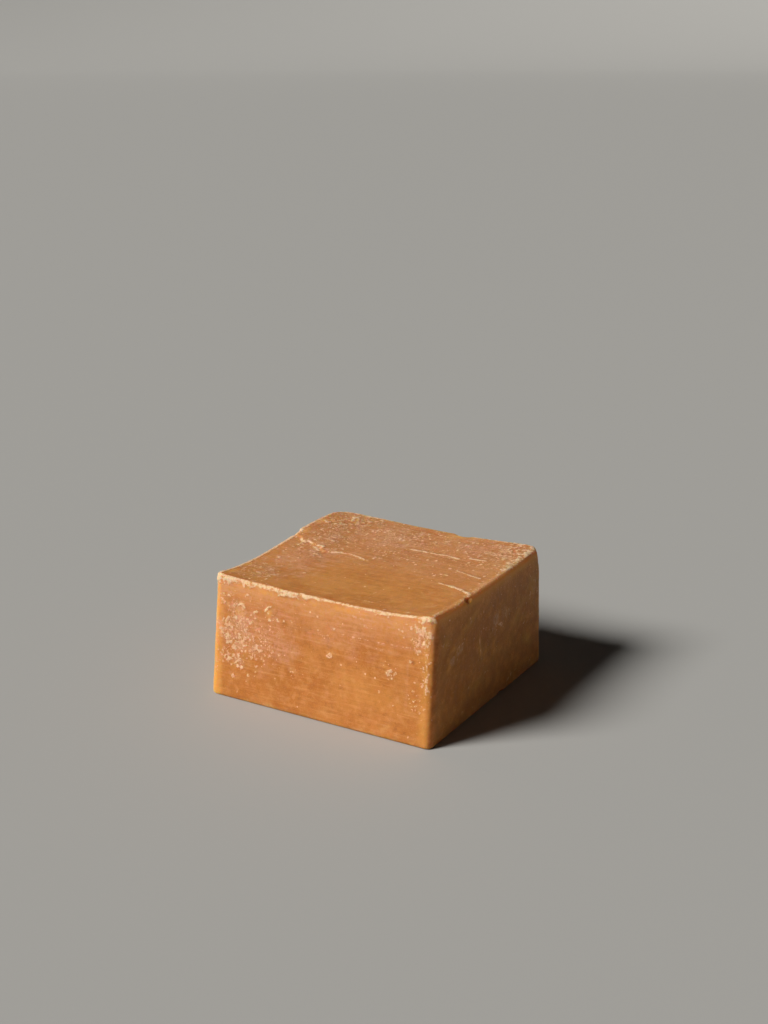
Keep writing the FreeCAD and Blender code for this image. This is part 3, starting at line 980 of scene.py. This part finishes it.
def soap_material():
    material = bpy.data.materials.new("worn_soap")
    n = Nodes(material)
    place = n.add("ShaderNodeTexCoord").outputs["Object"]
    mm = n.scaled(place, (1000.0, 1000.0, 1000.0))
    drawn_x = n.scaled(mm, (0.07, 1.0, 1.0))
    drawn_y = n.scaled(mm, (1.0, 0.07, 1.0))

    # Body colour, with slow clouds, mottling and streaks left by the cutting wire
    clouds = n.noise(mm, 0.05, 3.0)
    mottle = n.noise(mm, 0.4, 4.0, 0.6)
    streaks = n.noise(drawn_x, 1.1, 5.0, 0.65)
    cross = n.noise(drawn_y, 1.1, 5.0, 0.65)
    fine = n.noise(mm, 2.6, 4.0, 0.7)
    colour = n.mix(n.step(clouds, 0.35, 0.65), DEEP, WARM)
    colour = n.mix(n.step(mottle, 0.48, 0.70, 0.0, 0.50), colour, SOFT)
    colour = n.mix(n.step(mottle, 0.46, 0.28, 0.0, 0.35), colour, DARK)
    colour = n.mix(n.step(streaks, 0.50, 0.72, 0.0, 0.65), colour, SOFT)
    colour = n.mix(n.step(streaks, 0.47, 0.28, 0.0, 0.30), colour, DARK)
    colour = n.mix(n.step(cross, 0.55, 0.78, 0.0, 0.25), colour, SOFT)
    colour = n.mix(n.step(fine, 0.54, 0.72, 0.0, 0.60), colour, SOFT)
    colour = n.mix(n.step(fine, 0.46, 0.30, 0.0, 0.40), colour, DARK)
    # Painted glow where light shines through the soap, and lighter scuffs
    colour = n.mix(n.calc("MULTIPLY", n.mask("painted_glow_and_scuffs"), 0.75), colour, GLOW_AND_SCUFFS)

    # Pinkish bloom, partly dusting and partly painted sheen and highlight, thickest between the
    # streaks
    dusting = n.noise(mm, 0.9, 5.0, 0.75)
    powdered = n.step(dusting, 0.38, 0.62, 0.1, 0.65)
    thick = n.calc("ADD", powdered, n.step(streaks, 0.44, 0.64, 0.0, 0.35))
    colour = n.mix(n.calc("MULTIPLY", n.mask("bloom_and_sheen"), thick), colour, BLOOM_AND_SHEEN)
    hollow = n.calc("MULTIPLY", n.mask("fleck"), n.step(dusting, 0.48, 0.32, 0.0, 0.75))
    colour = n.mix(hollow, colour, DARK)

    # Powdery specks and a fine net of pale lines, as dense as the mask says
    fleck_mask = n.mask("fleck")
    specks = n.noise(mm, 0.85, 3.0, 0.6)
    speck_limit = n.calc("MULTIPLY_ADD", fleck_mask, -0.26, 0.76)
    speck = n.step(n.calc("SUBTRACT", specks, speck_limit), 0.0, 0.05)
    web = n.noise(mm, 0.5, 4.0, 0.6, 0.6)
    off_line = n.calc("ABSOLUTE", n.calc("SUBTRACT", web, 0.5))
    line = n.step(off_line, 0.05, 0.015)
    net = n.calc("MULTIPLY", line, n.step(n.calc("MULTIPLY", fleck_mask, dusting), 0.22, 0.50))
    dust = n.calc("MAXIMUM", n.calc("MULTIPLY", speck, 0.7), n.calc("MULTIPLY", net, 0.35))
    crowd = n.calc("MULTIPLY", fleck_mask, n.step(dusting, 0.38, 0.62, 0.25, 1.0))
    dust = n.calc("MAXIMUM", dust, n.crumbs(mm, 0.62, crowd))
    dust = n.calc("MAXIMUM", dust, n.crumbs(mm, 1.15, n.calc("MULTIPLY_ADD", crowd, 0.6, 0.012)))
    dusty = n.mix(n.step(fine, 0.44, 0.60), DUST, PALE)
    colour = n.mix(dust, colour, dusty)

    # Crust, crumbs and flakes
    breakup = n.calc("MULTIPLY_ADD", n.noise(mm, 1.3, 4.0, 0.7), 1.4, -0.7)
    grit = n.noise(mm, 2.0, 3.0, 0.65)
    chalk = n.step(n.calc("ADD", n.mask("chalk"), breakup), 0.52, 0.85)
    chalk = n.calc("MULTIPLY", chalk, n.step(grit, 0.36, 0.62, 0.50, 0.95))
    colour = n.mix(chalk, colour, dusty)
    pale = n.step(n.calc("ADD", n.mask("pale"), breakup), 0.55, 0.92)
    pale = n.calc("MULTIPLY", pale, n.step(grit, 0.34, 0.60, 0.55, 1.0))
    colour = n.mix(pale, colour, PALE)
    # Painted shade in grooves, nicks and pits and on the face turned from the light
    colour = n.mix(n.calc("MULTIPLY", n.mask("painted_shade"), 0.6), colour, DARK)

    # Powder is rougher, stands a little higher and lets less light through
    powder = n.calc("MAXIMUM", n.calc("MAXIMUM", pale, chalk), dust)
    roughness = n.step(mottle, 0.35, 0.7, 0.42, 0.58)
    roughness = n.calc("MAXIMUM", roughness, n.calc("MULTIPLY", powder, 0.8))
    relief = n.calc("MULTIPLY", fine, 0.5)
    relief = n.calc("MULTIPLY_ADD", streaks, 0.5, relief)
    relief = n.calc("MULTIPLY_ADD", powder, 0.7, relief)
    bump = n.add("ShaderNodeBump", {"Height": relief, "Strength": 0.75, "Distance": 0.00022})
    shader = n.add(
        "ShaderNodeBsdfPrincipled",
        {
            "Base Color": colour,
            "Roughness": roughness,
            "Normal": bump.outputs[0],
            "IOR": 1.45,
            "Specular IOR Level": 0.14,
            "Subsurface Weight": n.step(powder, 0.0, 1.0, 0.85, 0.25),
            "Subsurface Radius": (1.0, 0.28, 0.09),
            "Subsurface Scale": 0.0040,
        },
    )
    out = n.add("ShaderNodeOutputMaterial")
    n.tree.links.new(shader.outputs[0], out.inputs[0])
    return material


bar = make_bar()
bar.data.materials.append(soap_material())
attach(bar, "root")
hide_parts(NODE)


# Floor: how far it stays flat, the radius and the degrees of its rise, and its mesh

FLOOR_FLAT = 12.0
FLOOR_CURVE = 5.0
FLOOR_RISE = 65.0
FLOOR_SIDES = 96
FLOOR_STEPS = 12
FLOOR_COLOUR = (0.46, 0.46, 0.445)

# Light: where it falls from, its spread in degrees and its strength

KEY_FROM = (-1.50, -1.78, 1.85)
KEY_SPREAD = 22.6
KEY_POWER = 3.7
KEY_COLOUR = (1.0, 0.97, 0.93)
STUDIO_COLOUR = (0.86, 0.85, 0.82)
STUDIO_POWER = 0.01

# Camera: its lens and sensor in millimetres, where it stands and where it looks

LENS = 51.11
SENSOR = 36.0
CAMERA_PLACE = (0.2475, -0.4168, 0.2181)
CAMERA_AIM = (-0.4840, 0.8198, -0.3060)


def floor_material():
    material = bpy.data.materials.new("pale_floor")
    n = Nodes(material)
    finish = {"Base Color": (*FLOOR_COLOUR, 1), "Roughness": 0.9}
    shader = n.add("ShaderNodeBsdfPrincipled", finish)
    out = n.add("ShaderNodeOutputMaterial")
    n.tree.links.new(shader.outputs[0], out.inputs[0])
    return material


def make_floor():
    """A wide round sheet, level under the bar, that curves up far away from it."""
    profile = [(FLOOR_FLAT / 2, 0.0), (FLOOR_FLAT, 0.0)]
    for step in range(1, FLOOR_STEPS + 1):
        angle = math.radians(FLOOR_RISE) * step / FLOOR_STEPS
        out = FLOOR_FLAT + FLOOR_CURVE * math.sin(angle)
        profile.append((out, FLOOR_CURVE * (1 - math.cos(angle))))
    corners = [(0.0, 0.0, 0.0)]
    for radius, height in profile:
        for side in range(FLOOR_SIDES):
            turn = 2 * math.pi * side / FLOOR_SIDES
            corners.append((radius * math.cos(turn), radius * math.sin(turn), height))
    quads = []
    for side in range(FLOOR_SIDES):
        beside = (side + 1) % FLOOR_SIDES
        quads.append((0, 1 + side, 1 + beside))
        for ring in range(len(profile) - 1):
            low, high = 1 + ring * FLOOR_SIDES, 1 + (ring + 1) * FLOOR_SIDES
            quads.append((low + side, high + side, high + beside, low + beside))
    mesh = bpy.data.meshes.new("floor")
    mesh.from_pydata(corners, [], quads)
    mesh.shade_smooth()
    floor = bpy.data.objects.new("floor", mesh)
    floor.data.materials.append(floor_material())
    bpy.context.collection.objects.link(floor)


def make_light():
    """Soft light that falls from one side, equally strong everywhere, and a faint studio."""
    light = bpy.data.lights.new("key", "SUN")
    light.angle = math.radians(KEY_SPREAD)
    light.energy = KEY_POWER
    light.color = KEY_COLOUR
    lamp = bpy.data.objects.new("key", light)
    lamp.location = KEY_FROM
    lamp.rotation_euler = (-Vector(KEY_FROM)).to_track_quat("-Z", "Y").to_euler()
    bpy.context.collection.objects.link(lamp)
    world = bpy.data.worlds.new("studio")
    world.use_nodes = True
    background = world.node_tree.nodes["Background"]
    background.inputs["Color"].default_value = (*STUDIO_COLOUR, 1)
    background.inputs["Strength"].default_value = STUDIO_POWER
    bpy.context.scene.world = world


def make_camera():
    data = bpy.data.cameras.new("camera")
    data.lens = LENS
    data.sensor_width = SENSOR
    camera = bpy.data.objects.new("camera", data)
    camera.rotation_euler = Vector(CAMERA_AIM).to_track_quat("-Z", "Y").to_euler()
    camera.location = CAMERA_PLACE
    bpy.context.collection.objects.link(camera)
    bpy.context.scene.camera = camera


make_floor()
make_light()
make_camera()
bpy.context.scene.view_settings.view_transform = "Standard"
